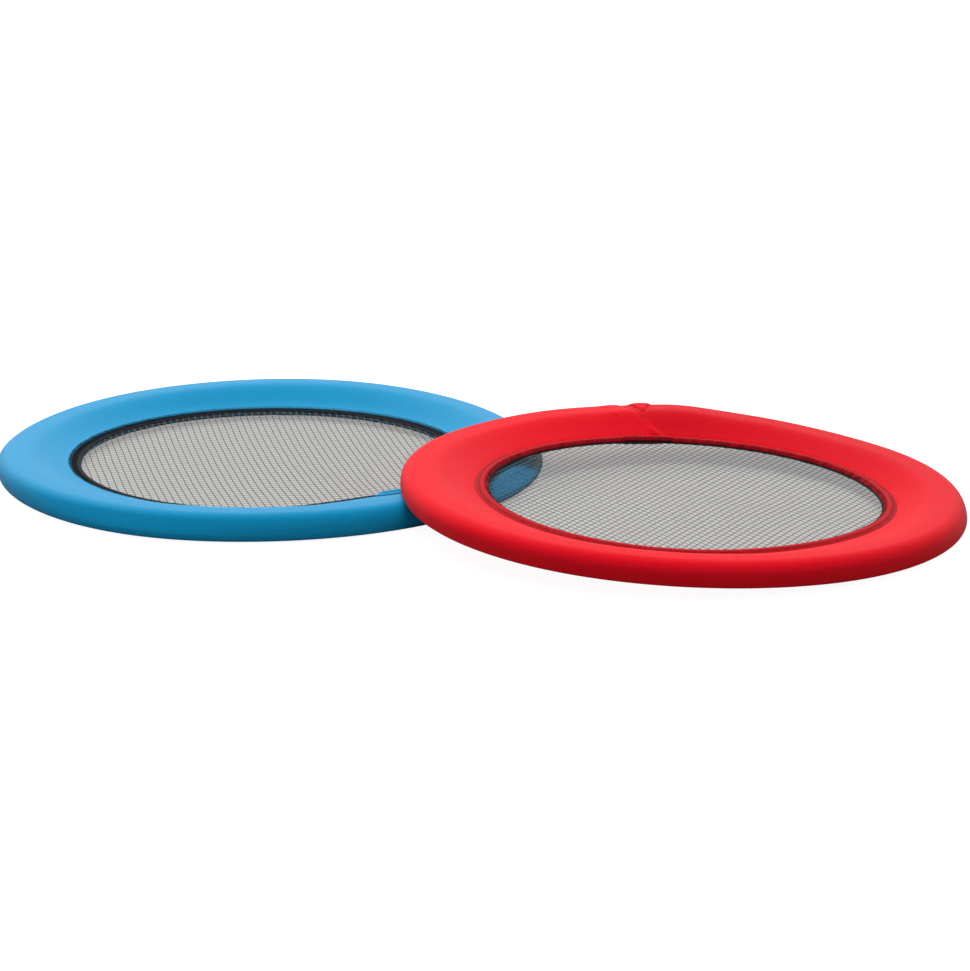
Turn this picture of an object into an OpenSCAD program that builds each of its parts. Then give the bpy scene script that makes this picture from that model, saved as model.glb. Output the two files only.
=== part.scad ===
// Two hand-held bounce discs, one resting on the rim of the other. Each is a sprung hoop in a
// foam ring, sleeved in stretch fabric, with a net hemmed into the sleeve's inner edge.
// Millimetres, +Z up. The origin is on the floor, under the centre of the pair, and +X runs from
// the centre of the blue disc to the centre of the red one.

/* [Disc] */
// Outside diameter of a disc
disc_d = 300; // [260:5:340]
// Width of the padded rim, from its outer edge to the net
rim_w = 41.5; // [34:0.5:50]
// Thickness of the rim at its crest
rim_t = 13; // [12:0.5:18]
// Width of the flat band along the crest, on each face
crest_w = 5; // [3:0.5:8]

/* [Hoop] */
// Diameter of the sprung rod
hoop_d = 4; // [3:0.5:5]
// Gap between the rod's two ends, inside the ferrule
hoop_end_gap = 2; // [1:0.5:4]
// Length of the ferrule that joins the rod's ends
ferrule_len = 36; // [24:1:60]
// Wall of the ferrule
ferrule_wall = 0.8; // [0.5:0.1:1.2]
// Clearance between the rod and the ferrule's bore
ferrule_clearance = 0.06; // [0.04:0.01:0.1]

/* [Sleeve] */
// Thickness of the sleeve's fabric
cover_t = 0.9; // [0.6:0.1:1.6]
// Width of the lap where the sleeve's two ends are closed
lap_w = 9; // [6:0.5:16]
// Share of the rim's fall to the net that the bulk of the lap fills
lap_fill = 0.5; // [0.2:0.05:0.7]
// Width of the welt sewn along the sleeve's inner edge
welt_w = 5; // [3:0.5:8]
// Thickness of the welt
welt_t = 0.8; // [0.5:0.1:1.2]
// Thickness of the thread that holds the welt down
thread_d = 0.6; // [0.4:0.1:0.9]

/* [Net] */
// Thickness of the net
net_t = 0.8; // [0.5:0.1:1.2]
// Distance from strand to strand
net_pitch = 11.5; // [11:0.5:16]
// Width of a strand
strand_w = 1.6; // [1.2:0.1:3]
// Angle at which the two families of strands cross
strand_cross = 62; // [50:1:90]
// Depth of the hem that is folded over the net's edge
hem_w = 7; // [5:0.5:10]
// Thickness of the hem's tape
hem_t = 0.6; // [0.4:0.1:1]
// Width of the overlocked bead that closes the sleeve's inner edge
bead_w = 1; // [0.6:0.1:2]

/* [Fit] */
// Clearance between layers that are sewn or packed together
layer_gap = 0.2; // [0.15:0.05:0.3]
// Clearance between the rod or its ferrule and the groove in the foam
groove_gap = 0.3; // [0.25:0.05:0.5]
// Clearance between the two discs where the red rim rests on the blue one
rest_gap = 0.3; // [0.2:0.05:0.5]

/* [Layout] */
// How far the red disc reaches over the blue one
overlap = 52; // [40:1:70]
// Where the blue sleeve's lap lies, from +X round to +Y
blue_turn = -20; // [-180:1:180]
// Where the red sleeve's lap lies, from +X round to +Y
red_turn = 121; // [-180:1:180]
// Turn of the blue net's first strands from +X
blue_strand_turn = 125; // [0:1:180]
// Turn of the red net's first strands from +X
red_strand_turn = 88; // [0:1:180]

/* [Hidden] */
$fn = 96;
disc_r = disc_d / 2;
opening_r = disc_r - rim_w;
half_t = rim_t / 2;
nose_r = disc_r - half_t;
crest_in_r = nose_r - crest_w;

// Heights above the middle plane of the layers sewn together at the rim's inner edge
net_top = net_t / 2 + layer_gap;
hem_top = net_top + hem_t;
edge_top = hem_top + layer_gap + cover_t;

// The rim falls from its crest to its inner edge along an arc
fall_w = crest_in_r - opening_r;
fall_h = half_t - edge_top;
fall_arc_r = (fall_w * fall_w + fall_h * fall_h) / (2 * fall_h);

hem_out_r = opening_r + hem_w;
hem_bore_r = hem_out_r - hem_t;
foam_in_r = hem_out_r + layer_gap;
foam_inset = cover_t + layer_gap;
ferrule_in_r = hoop_d / 2 + ferrule_clearance;
ferrule_out_r = ferrule_in_r + ferrule_wall;

arc_steps = 9;
circle_deg = 360;

// Angle that a length takes up along the hoop
function hoop_angle(length) = length / (PI * nose_r) * 180;
lap_angle = hoop_angle(lap_w);
lap_gap_angle = hoop_angle(layer_gap);

// Height of the rim's arc at radius r, on a surface set in by depth
function fall_z(r, depth = 0) =
    half_t - fall_arc_r + sqrt(pow(fall_arc_r - depth, 2) - pow(crest_in_r - r, 2));

// Height of the rim's outer surface at radius r
function rim_z(r) =
    r < crest_in_r ? fall_z(r) : r < nose_r ? half_t : sqrt(half_t * half_t - pow(r - nose_r, 2));

// One face of the rim from radius from_r out to the nose, set in by depth. A share of the fall
// can be filled, which lifts the arc towards the crest.
function face_points(from_r, depth = 0, fill = 0) = concat(
    [for (i = [0 : arc_steps]) let (r = from_r + (crest_in_r - from_r) * i / arc_steps)
        [r, fall_z(r, depth) + fill * (half_t - fall_z(r))]],
    [for (i = [0 : arc_steps]) let (a = 90 - 90 * i / arc_steps)
        [nose_r + (half_t - depth) * cos(a), (half_t - depth) * sin(a)]]);

function mirrored(points) = [for (p = points) [p[0], -p[1]]];
function reversed(points) = [for (i = [len(points) - 1 : -1 : 0]) points[i]];

// Both faces of the rim, joined round the nose
function rim_path(from_r, depth = 0, fill = 0) =
    let (face = face_points(from_r, depth, fill))
    concat(face, [for (i = [len(face) - 2 : -1 : 0]) [face[i][0], -face[i][1]]]);

// The red disc leans on the blue one. Each pair of radii where the rims cross asks for its own
// lift over the reach from the red disc's far side, and the steepest sets the tilt.
centre_gap = disc_d - overlap;
seat_steps = 24;
seat_radii = [for (i = [0 : seat_steps]) opening_r + rim_w * i / seat_steps];
function reach(blue_r, red_r) =
    nose_r + (centre_gap * centre_gap + red_r * red_r - blue_r * blue_r) / (2 * centre_gap);
tilt = asin(max([for (blue_r = seat_radii) for (red_r = seat_radii)
    if (blue_r + red_r >= centre_gap)
        (rim_z(blue_r) + rim_z(red_r) + rest_gap) / reach(blue_r, red_r)]));

red_reach = nose_r * cos(tilt) + half_t;
blue_x = (disc_r - centre_gap - red_reach) / 2;
red_x = blue_x + centre_gap;
red_z = nose_r * sin(tilt) + half_t;

blue_cloth = [0.11, 0.53, 0.77];
red_cloth = [0.88, 0.12, 0.14];
black_yarn = [0.10, 0.10, 0.11];
foam_grey = [0.78, 0.78, 0.76];
steel = [0.62, 0.64, 0.66];

// The blue disc lies welt side down, flat on the floor
module as_blue() {
    translate([blue_x, 0, half_t]) rotate([0, 0, blue_turn]) rotate([180, 0, 0]) children();
}

// The red disc lies welt side up, one edge on the floor and the other on the blue rim
module as_red() {
    translate([red_x, 0, red_z]) rotate([0, tilt, 0]) rotate([0, 0, red_turn]) children();
}

// The parts of one disc, about its middle plane, with the sleeve's lap at +X and the welt above

// Sprung rod, bent round to a hoop whose ends nearly meet
module rim_hoop() {
    end_angle = hoop_angle(hoop_end_gap);
    color(steel)
        rotate_extrude(angle = circle_deg - end_angle, start = 180 + end_angle / 2)
            translate([nose_r, 0]) circle(d = hoop_d);
}

// Curved tube over the rod's two ends, opposite the lap
module hoop_ferrule() {
    color(steel * 0.85)
        rotate_extrude(angle = hoop_angle(ferrule_len), start = 180 - hoop_angle(ferrule_len) / 2)
            translate([nose_r, 0]) difference() {
                circle(r = ferrule_out_r);
                circle(r = ferrule_in_r);
            }
}

// Half of the foam ring, contoured outside and flat inside, with a groove for the rod and a
// pocket for the ferrule
module foam_half() {
    pocket_angle = hoop_angle(ferrule_len + 2 * groove_gap);
    face = face_points(foam_in_r, foam_inset);
    color(foam_grey) difference() {
        rotate_extrude() difference() {
            polygon(concat([[foam_in_r, 0]], face));
            translate([nose_r, 0]) circle(r = hoop_d / 2 + groove_gap);
        }
        rotate_extrude(angle = pocket_angle, start = 180 - pocket_angle / 2)
            translate([nose_r, 0]) circle(r = ferrule_out_r + groove_gap);
    }
}

// Wall of the sleeve in section: round the nose, with its two edges at the net
module sleeve_section(fill = 0) {
    polygon(concat(rim_path(opening_r, 0, fill), reversed(rim_path(opening_r, cover_t))));
}

// Stretch sleeve over the foam, open along its inner edge and at the lap
module cover(cloth) {
    open_angle = lap_angle + 2 * lap_gap_angle;
    color(cloth)
        rotate_extrude(angle = circle_deg - open_angle, start = open_angle / 2) sleeve_section();
}

// Folded lap that closes the sleeve's ends. Its bulk keeps the rim from drawing in.
module cover_lap(cloth) {
    color(cloth * 0.9) rotate_extrude(angle = lap_angle, start = -lap_angle / 2)
        sleeve_section(lap_fill);
}

// Flat fold of sleeve fabric, sewn down round the net and interrupted by the lap
module welt(cloth) {
    low = layer_gap;
    high = layer_gap + welt_t;
    from_r = opening_r + layer_gap;
    to_r = opening_r + welt_w;
    open_angle = lap_angle + 2 * lap_gap_angle;
    color(cloth * 0.95)
        rotate_extrude(angle = circle_deg - open_angle, start = open_angle / 2) polygon([
            [from_r, fall_z(from_r, -low)],
            [from_r, fall_z(from_r, -high)],
            [to_r, fall_z(to_r, -high)],
            [to_r, fall_z(to_r, -low)],
        ]);
}

// Run of stitching along the middle of the welt
module welt_thread() {
    run_r = opening_r + welt_w / 2;
    open_angle = lap_angle + 2 * lap_gap_angle;
    color(black_yarn) rotate_extrude(angle = circle_deg - open_angle, start = open_angle / 2)
        translate([run_r, fall_z(run_r, -(2 * layer_gap + welt_t)) + thread_d / 2])
            circle(d = thread_d, $fn = 16);
}

// Tape folded over the net's edge, with a bead on each lip that covers the sleeve's edge
module net_hem() {
    bead_in_r = opening_r - bead_w;
    bead_out_r = opening_r - layer_gap;
    half = [
        [bead_in_r, net_top],
        [bead_in_r, edge_top],
        [bead_out_r, edge_top],
        [bead_out_r, hem_top],
        [hem_out_r, hem_top],
    ];
    slot = [[hem_bore_r, -net_top], [hem_bore_r, net_top]];
    color(black_yarn) rotate_extrude()
        polygon(concat(half, mirrored(reversed(half)), slot));
}

// Flat net of two families of strands. Every gap whose centre lies in the opening is cut out, up
// to the opening's edge, and the plain edge outside it lies in the hem.
module net(strand_turn) {
    cell = net_pitch / sin(strand_cross);
    reach_n = ceil(opening_r / net_pitch);
    color(black_yarn) translate([0, 0, -net_t / 2]) linear_extrude(net_t) difference() {
        circle(r = hem_bore_r - layer_gap);
        rotate(strand_turn) intersection() {
            circle(r = opening_r);
            for (i = [-reach_n : reach_n], j = [-reach_n : reach_n]) {
                centre = along_strands(i * cell, j * cell);
                if (norm(centre) < opening_r) translate(centre) net_gap(cell);
            }
        }
    }
}

// Place reached by going along the first family of strands, then along the second
function along_strands(first, second) =
    [first + second * cos(strand_cross), second * sin(strand_cross)];

// Lozenge between two strands of each family
module net_gap(cell) {
    side = cell - strand_w / sin(strand_cross);
    polygon([for (corner = [[-1, -1], [1, -1], [1, 1], [-1, 1]])
        along_strands(corner[0] * side / 2, corner[1] * side / 2)]);
}

as_blue() rim_hoop();  // blue_rim_hoop
as_blue() hoop_ferrule();  // blue_hoop_ferrule
as_blue() foam_half();  // blue_foam_welt_side
as_blue() mirror([0, 0, 1]) foam_half();  // blue_foam_plain_side
as_blue() cover(blue_cloth);  // blue_cover
as_blue() cover_lap(blue_cloth);  // blue_cover_lap
as_blue() welt(blue_cloth);  // blue_welt
as_blue() welt_thread();  // blue_welt_thread
as_blue() net_hem();  // blue_net_hem
as_blue() net(blue_turn - blue_strand_turn);  // blue_net
as_red() rim_hoop();  // red_rim_hoop
as_red() hoop_ferrule();  // red_hoop_ferrule
as_red() foam_half();  // red_foam_welt_side
as_red() mirror([0, 0, 1]) foam_half();  // red_foam_plain_side
as_red() cover(red_cloth);  // red_cover
as_red() cover_lap(red_cloth);  // red_cover_lap
as_red() welt(red_cloth);  // red_welt
as_red() welt_thread();  // red_welt_thread
as_red() net_hem();  // red_net_hem
as_red() net(red_strand_turn - red_turn);  // red_net
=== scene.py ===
import math

import bpy
import numpy as np
from mathutils import Matrix, Vector


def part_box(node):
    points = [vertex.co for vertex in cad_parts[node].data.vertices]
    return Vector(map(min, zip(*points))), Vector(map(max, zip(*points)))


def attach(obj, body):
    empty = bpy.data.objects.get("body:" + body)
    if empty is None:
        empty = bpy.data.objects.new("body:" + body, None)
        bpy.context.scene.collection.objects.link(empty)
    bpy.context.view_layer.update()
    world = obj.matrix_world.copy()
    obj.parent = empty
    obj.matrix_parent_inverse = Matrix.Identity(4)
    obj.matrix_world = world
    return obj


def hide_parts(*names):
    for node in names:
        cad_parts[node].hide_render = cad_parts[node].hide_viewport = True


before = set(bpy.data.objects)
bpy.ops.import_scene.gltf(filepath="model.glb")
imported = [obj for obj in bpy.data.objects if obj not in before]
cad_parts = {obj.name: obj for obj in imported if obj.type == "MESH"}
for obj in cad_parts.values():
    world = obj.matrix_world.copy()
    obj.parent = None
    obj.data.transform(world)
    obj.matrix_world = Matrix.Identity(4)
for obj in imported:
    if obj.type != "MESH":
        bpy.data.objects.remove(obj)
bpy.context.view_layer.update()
mm = 0.001
colours = ("blue", "red")


def addNode(tree, kind, inputs=None, **settings):
    node = tree.nodes.new(kind)
    for key, value in settings.items():
        setattr(node, key, value)
    for key, value in (inputs or {}).items():
        if isinstance(value, bpy.types.NodeSocket):
            tree.links.new(value, node.inputs[key])
        else:
            node.inputs[key].default_value = value
    return node


def calc(tree, operation, *values):
    return addNode(tree, "ShaderNodeMath", dict(enumerate(values)), operation=operation).outputs[0]


def vectorCalc(tree, operation, *values, output=0):
    node = addNode(tree, "ShaderNodeVectorMath", dict(enumerate(values)), operation=operation)
    return node.outputs[output]


def newGroup(name, kind, inputs, outputs):
    tree = bpy.data.node_groups.new(name, kind)
    for label, socketType, default in inputs:
        socket = tree.interface.new_socket(label, in_out="INPUT", socket_type="NodeSocket" + socketType)
        if default is not None:
            socket.default_value = default
    for label, socketType in outputs:
        tree.interface.new_socket(label, in_out="OUTPUT", socket_type="NodeSocket" + socketType)
    return tree, tree.nodes.new("NodeGroupInput").outputs, tree.nodes.new("NodeGroupOutput").inputs


def useGroup(tree, group, values):
    kind = "GeometryNodeGroup" if tree.bl_idname == "GeometryNodeTree" else "ShaderNodeGroup"
    return addNode(tree, kind, values, node_tree=group).outputs


def combined(tree, x=0.0, y=0.0, z=0.0):
    return addNode(tree, "ShaderNodeCombineXYZ", {0: x, 1: y, 2: z}).outputs[0]


def separated(tree, vector):
    return addNode(tree, "ShaderNodeSeparateXYZ", {0: vector}).outputs


def turnedAboutZ(tree, vector, angle):
    given = {"Vector": vector, "Angle": angle}
    return addNode(tree, "ShaderNodeVectorRotate", given, rotation_type="Z_AXIS").outputs[0]


def scaled(tree, vector, gain):
    return addNode(tree, "ShaderNodeVectorMath", {0: vector, "Scale": gain}, operation="SCALE").outputs[0]


def addObject(name, data):
    thing = bpy.data.objects.new(name, data)
    bpy.context.scene.collection.objects.link(thing)
    return thing


def newPiece(name, mesh, material=None, smooth=True):
    if smooth:
        mesh.shade_smooth()
    if material:
        mesh.materials.append(material)
    return addObject(name, mesh)


def runTree(name, tree, values):
    # runs a Geometry Nodes tree on an empty object and keeps the plain mesh
    maker = addObject(name + "Maker", bpy.data.meshes.new(name + "Seed"))
    modifier = maker.modifiers.new("tree", "NODES")
    modifier.node_group = tree
    for item in tree.interface.items_tree:
        if item.item_type == "SOCKET" and item.in_out == "INPUT" and item.name in values:
            modifier[item.identifier] = values[item.name]
    bpy.context.view_layer.update()
    made = bpy.data.meshes.new_from_object(maker.evaluated_get(bpy.context.evaluated_depsgraph_get()))
    maker.modifiers.clear()
    bpy.data.objects.remove(maker)
    made.name = name
    return made


def meshPoints(mesh):
    points = np.empty(len(mesh.vertices) * 3, np.float32)
    mesh.vertices.foreach_get("co", points)
    return points.reshape(-1, 3).astype(float)


def setPoints(mesh, points):
    mesh.vertices.foreach_set("co", points.astype(np.float32).ravel())
    mesh.update()


def bump(x):
    # 1 at 0, falling smoothly to nothing
    return np.exp(-np.square(x))


def ease(x, start, stop):
    t = np.clip((x - start) / (stop - start), 0, 1)
    return t * t * (3 - 2 * t)


def polar(points):
    # radius in mm and turn round the disc's axis in degrees
    return np.hypot(points[:, 0], points[:, 1]), np.degrees(np.arctan2(points[:, 1], points[:, 0]))


def pushOut(points, radius, amount):
    # moves points away from the disc's axis by an amount in mm
    points[:, :2] *= (1 + amount / radius)[:, None]


# lengths are in mm, radii are from the disc's axis and heights from its middle
disc = {
    "outsideRadius": 150.0,
    "openingRadius": 108.5,
    "thickness": 13.0,
    "crestWidth": 5.0,
    "edgeHalfThickness": 2.3,
    "clothThickness": 0.9,
    "clothAtEdge": 0.8,
    "clothFullFrom": 122.0,
}
halfT = disc["thickness"] / 2
openingR = disc["openingRadius"]
noseR = disc["outsideRadius"] - halfT
crestR = noseR - disc["crestWidth"]
fallDrop = halfT - disc["edgeHalfThickness"]
fallArcR = ((crestR - openingR) ** 2 + fallDrop**2) / (2 * fallDrop)
turnOf = {"blue": -20.0, "red": 121.0}  # where each disc's lap points, in degrees from +X
upSide = {"blue": -1, "red": 1}  # the face of each disc that lies uppermost, +1 is the welt's


def fallHeight(radius):
    # the face falls in an arc from its crest to the opening
    return halfT - fallArcR + np.sqrt(fallArcR**2 - np.square(np.minimum(radius, crestR) - crestR))


def clothDepth(radius):
    thin, full = disc["clothAtEdge"], disc["clothThickness"]
    return thin + (full - thin) * ease(radius, openingR, disc["clothFullFrom"])


def discPlaces():
    # each disc's place comes from its packed cover
    places = {}
    for colour in colours:
        low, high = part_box(colour + "_cover")
        tilt = math.asin((high.z - low.z - disc["thickness"] * mm) / (2 * noseR * mm))
        centre = Matrix.Translation(((low.x + high.x) / 2, 0, (low.z + high.z) / 2))
        turn = Matrix.Rotation(math.radians(turnOf[colour]), 4, "Z")
        if colour == "blue":
            places[colour] = centre @ turn @ Matrix.Rotation(math.pi, 4, "X")
        else:
            places[colour] = centre @ Matrix.Rotation(tilt, 4, "Y") @ turn
    return places


placeOf = discPlaces()

# Soft changes of shape shared by every layer of a disc, in mm. A wave is (turn round the disc from its
# lap in degrees, reach in degrees, amount in mm), and fades to nothing past its reach.
sway = {
    "sag": {"blue": 1.5, "red": 2.15},  # how far the net and the sewn edge hang
    "press": 0.5,  # share of the thickness lost at the sewn edge
    "valley": {"blue": 0.0, "red": 0.5},  # depth of the furrow where the welt is sewn down
    # how far the outer edge's lower half is pushed out, and the upper face drawn in
    "nose": {"blue": [(-42, 42, 5.0), (72, 26, 2.5)], "red": [(-105, 25, 1.2), (180, 42, -2.0)]},
    "narrow": {"blue": [(46, 75, 0.6), (16, 28, 1.2), (84, 25, 1.2)], "red": [(176, 75, 2.2)]},
    # how far the plain side's sewn end is pulled in, and the lower outer edge lifted
    "tuck": {"blue": [(-128, 70, 1.6), (140, 30, 0.5)], "red": []},
    "rise": {"blue": [], "red": [(180, 45, 1.2)]},
    # how much higher the padding and the sewn edge stand, and how much wider the opening is
    "crest": {"blue": [(-118, 34, 1.9), (-160, 34, 0.9), (150, 25, -1.0), (40, 55, 1.7)],
              "red": [(-9, 9, 1.5), (-48, 24, -1.9), (42, 20, -1.2), (186, 58, 2.4)]},
    "lip": {"blue": [(46, 100, 0.6), (-134, 100, -0.6), (12, 12, 1.4), (26, 12, 1.0)],
            "red": [(173, 100, 1.8), (-7, 100, -1.8), (-145, 38, 1.4)]},
    "open": {"blue": [(136, 90, -1.4)], "red": [(83, 100, -2.1), (-97, 100, 2.1), (-145, 38, -2.0)]},
}

# Where each change acts: from none to full, along the radius or up through the height.
swayBand = {
    "hang": (134, 110),
    "lipFullRadius": 105,
    "crest": (112, 138),
    "crestHeight": (-1.0, 5.0),
    "valleyRadius": 112.6,
    "valleyWidth": 1.8,
    "valleyHeight": (0, 2),
    "rise": (132, 144),
    "riseHeight": (0, -5),
    "open": (130, 112),
    "nose": (134, 145.5),
    "noseHeight": (3.5, -3.0),
    "foam": (139, 146),
    "foamHeight": (0.3, 3.0),
    "foamShare": 0.35,  # of the sleeve's narrowing that reaches the foam
    "steadyRadius": 80,  # inside it the net stretches in proportion
}


def sumAt(waves, angle):
    total = np.zeros_like(angle)
    for turn, reach, amount in waves:
        total += amount * bump(((angle - turn + 180) % 360 - 180) / reach)
    return total


def swayAt(kind, colour, angle):
    return sumAt(sway[kind][colour], angle)


def shapeRim(colour, points, spread=True):
    # in the disc's own frame: the sewn edge and the net hang a little, the padding is uneven
    radius, angle = polar(points)
    up = upSide[colour]
    height = points[:, 2] * up
    hang = ease(radius, *swayBand["hang"])
    lip = swayAt("lip", colour, angle) * np.minimum(radius / swayBand["lipFullRadius"], 1)
    fall = (lip - sway["sag"][colour]) * hang
    lift = swayAt("crest", colour, angle) * ease(radius, *swayBand["crest"])
    lift *= ease(height, *swayBand["crestHeight"])
    dip = sway["valley"][colour] * bump((radius - swayBand["valleyRadius"]) / swayBand["valleyWidth"])
    dip *= ease(height, *swayBand["valleyHeight"])
    raised = swayAt("rise", colour, angle) * ease(radius, *swayBand["rise"])
    raised *= ease(height, *swayBand["riseHeight"])
    grow = swayAt("open", colour, angle) * ease(radius, *swayBand["open"])
    push = swayAt("nose", colour, angle)
    if not spread:
        # the foam follows its sleeve inwards only
        push = np.minimum(push, 0)
        squeeze = swayBand["foamShare"] * swayAt("narrow", colour, angle)
        grow -= squeeze * ease(radius, *swayBand["foam"]) * ease(height, *swayBand["foamHeight"])
    grow += push * ease(radius, *swayBand["nose"]) * ease(height, *swayBand["noseHeight"])
    shaped = points.copy()
    pushOut(shaped, np.maximum(radius, swayBand["steadyRadius"]), grow)
    shaped[:, 2] = up * (height * (1 - sway["press"] * hang) + fall + lift + raised - dip)
    return shaped


def seat(mesh, colour, spread=True):
    # from a disc's own frame in mm to its place in metres
    points = shapeRim(colour, meshPoints(mesh), spread)
    place = np.array(placeOf[colour], float)
    points = points * mm @ place[:3, :3].T + place[:3, 3]
    points[:, 2] = np.maximum(points[:, 2], 0)  # the ground presses the lap flat
    setPoints(mesh, points)
    return mesh


def pathLengths(section):
    return np.concatenate([[0], np.cumsum(np.linalg.norm(np.diff(section, axis=0), axis=1))])


def gridMesh(name, points, along, across, ring=True):
    # points[i, j] runs round the disc by i and round a closed section by j, with a map in mm
    around, steps = points.shape[:2]
    spans = around if ring else around - 1
    i, j = np.meshgrid(np.arange(spans), np.arange(steps), indexing="ij")
    i, j = i.ravel(), j.ravel()
    iNext, jNext = (i + 1) % around, (j + 1) % steps
    faces = np.stack([i * steps + j, iNext * steps + j, iNext * steps + jNext, i * steps + jNext], 1)
    u = np.append(along, along[0] + math.tau * openingR)
    v = np.append(across, across[-1] + 1.0)
    corners = ((i, j), (i + 1, j), (i + 1, j + 1), (i, j + 1))
    uv = np.stack([np.stack([u[a], v[b]], 1) for a, b in corners], 1)
    if not ring:
        # the two ends are closed from one wall of the shell to the other
        half = np.arange(steps // 2 - 1)
        for row, flip in ((0, False), (around - 1, True)):
            a, b = row * steps + half, row * steps + half + 1
            c, d = row * steps + steps - 2 - half, row * steps + steps - 1 - half
            cap = np.stack([a, b, c, d], 1)
            capUv = np.stack([np.stack([np.full(len(half), u[row]), v[half]], 1)] * 4, 1)
            faces = np.concatenate([faces, cap[:, ::-1] if flip else cap])
            uv = np.concatenate([uv, capUv])
    # a section that runs the wrong way round turns every face over
    x, y = np.hypot(points[0, :, 0], points[0, :, 1]), points[0, :, 2]
    if (x * np.roll(y, -1) - y * np.roll(x, -1)).sum() < 0:
        faces, uv = faces[:, ::-1], uv[:, ::-1]
    mesh = bpy.data.meshes.new(name)
    mesh.from_pydata(points.reshape(-1, 3).tolist(), [], faces.tolist())
    layer = mesh.uv_layers.new(name="clothMap")
    layer.data.foreach_set("uv", uv.astype(np.float32).ravel())
    return mesh


def ringMesh(name, section, steps):
    # section is (radius, height) round a closed loop, swept round the disc's axis
    section = np.asarray(section, float)
    angles = np.linspace(0, math.tau, steps, endpoint=False)
    points = np.stack([np.outer(np.cos(angles), section[:, 0]), np.outer(np.sin(angles), section[:, 0]),
                       np.tile(section[:, 1], (len(angles), 1))], axis=-1)
    return gridMesh(name, points, angles * openingR, pathLengths(section))


knit = {
    "wale": 0.55,  # mm from one column of loops to the next
    "course": 0.42,  # mm from one row of loops to the next
    "archRise": 0.6,
    "grooveDepth": 0.8,
    "grooveSharpness": 4.0,
}


def makeKnitGroup():
    # fine jersey knit from a map in mm: wales run across the rim, courses round it
    tree, given, result = newGroup("knitFace", "ShaderNodeTree", [
        ("Map", "Vector", None), ("Wale", "Float", knit["wale"]),
        ("Course", "Float", knit["course"])],
        [("Height", "Float"), ("Groove", "Float")])
    split = separated(tree, given["Map"])
    across = calc(tree, "FRACT", calc(tree, "DIVIDE", split[0], given["Wale"]))
    arch = calc(tree, "MULTIPLY", calc(tree, "ABSOLUTE", calc(tree, "SUBTRACT", across, 0.5)), 2.0)
    row = calc(tree, "DIVIDE", split[1], given["Course"])
    course = calc(tree, "ADD", row, calc(tree, "MULTIPLY", arch, knit["archRise"]))
    swing = calc(tree, "SINE", calc(tree, "MULTIPLY", course, math.tau))
    loop = calc(tree, "MULTIPLY_ADD", swing, 0.5, 0.5)
    groove = calc(tree, "POWER", arch, knit["grooveSharpness"])
    left = calc(tree, "SUBTRACT", 1.0, calc(tree, "MULTIPLY", groove, knit["grooveDepth"]))
    tree.links.new(calc(tree, "MULTIPLY", loop, left), result["Height"])
    tree.links.new(groove, result["Groove"])
    return tree


noiseScale = {"slow": 14.0, "fine": 900.0}


def makeToneGroup():
    # slow drifts of tone, and a finer fleck
    tree, given, result = newGroup("clothTone", "ShaderNodeTree", [
        ("Color", "Color", (0.5, 0.5, 0.5, 1)), ("Place", "Vector", None),
        ("Drift", "Float", 0.06), ("Fleck", "Float", 0.05)],
        [("Color", "Color"), ("Fleck", "Float")])
    noises, gains = {}, {}
    for speed, amount in (("slow", given["Drift"]), ("fine", given["Fleck"])):
        look = {"Vector": given["Place"], "Scale": noiseScale[speed], "Detail": 2.0}
        noises[speed] = addNode(tree, "ShaderNodeTexNoise", look).outputs[0]
        centred = calc(tree, "SUBTRACT", noises[speed], 0.5)
        gains[speed] = calc(tree, "MULTIPLY", centred, calc(tree, "MULTIPLY", amount, 2.0))
    gain = calc(tree, "ADD", calc(tree, "ADD", gains["slow"], gains["fine"]), 1.0)
    tree.links.new(scaled(tree, given["Color"], gain), result["Color"])
    tree.links.new(noises["fine"], result["Fleck"])
    return tree


knitGroup = makeKnitGroup()
toneGroup = makeToneGroup()


def newMaterial(name, constants):
    material = bpy.data.materials.new(name)
    material.use_nodes = True
    tree = material.node_tree
    shader = tree.nodes["Principled BSDF"]
    for socket, value in constants.items():
        shader.inputs[socket].default_value = value
    return material, tree, shader.inputs


def objectPlace(tree):
    return addNode(tree, "ShaderNodeTexCoord").outputs["Object"]


def addBump(tree, sockets, height, distance, strength=1.0):
    look = {"Height": height, "Distance": distance, "Strength": strength}
    normal = addNode(tree, "ShaderNodeBump", look)
    tree.links.new(normal.outputs[0], sockets["Normal"])


cloth = {
    "blue": (0.006, 0.32, 0.62, 1),
    "red": (0.88, 0.006, 0.018, 1),
    "roughness": 0.36,
    "specular": {"blue": 0.055, "red": 0.01},
    "sheen": {"blue": 0.02, "red": 0.06},
    "sheenRoughness": 0.5,
    "drift": 0.05,
    "fleck": 0.05,
    "grooveShade": 0.12,
    "knitDepth": 0.00006,
    "knitStrength": 0.6,
}


def makeClothMaterial(colour):
    material, tree, sockets = newMaterial(colour + "Jersey", {
        "Roughness": cloth["roughness"], "Specular IOR Level": cloth["specular"][colour],
        "Sheen Weight": cloth["sheen"][colour], "Sheen Roughness": cloth["sheenRoughness"]})
    uv = addNode(tree, "ShaderNodeUVMap", uv_map="clothMap").outputs[0]
    face = useGroup(tree, knitGroup, {"Map": uv})
    tone = useGroup(tree, toneGroup, {
        "Color": cloth[colour], "Place": objectPlace(tree),
        "Drift": cloth["drift"], "Fleck": cloth["fleck"]})
    # the dark attribute darkens the base colour: painted shade in creases, on the red lap's far side and on
    # the welt's outer flank, and the welt's darker stitched cloth
    dark = addNode(tree, "ShaderNodeAttribute", attribute_name="dark").outputs["Fac"]
    lit = calc(tree, "SUBTRACT", 1.0, calc(tree, "MULTIPLY", face["Groove"], cloth["grooveShade"]))
    shade = calc(tree, "MULTIPLY", lit, calc(tree, "SUBTRACT", 1.0, dark))
    tree.links.new(scaled(tree, tone["Color"], shade), sockets["Base Color"])
    addBump(tree, sockets, face["Height"], cloth["knitDepth"], cloth["knitStrength"])
    return material


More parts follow.
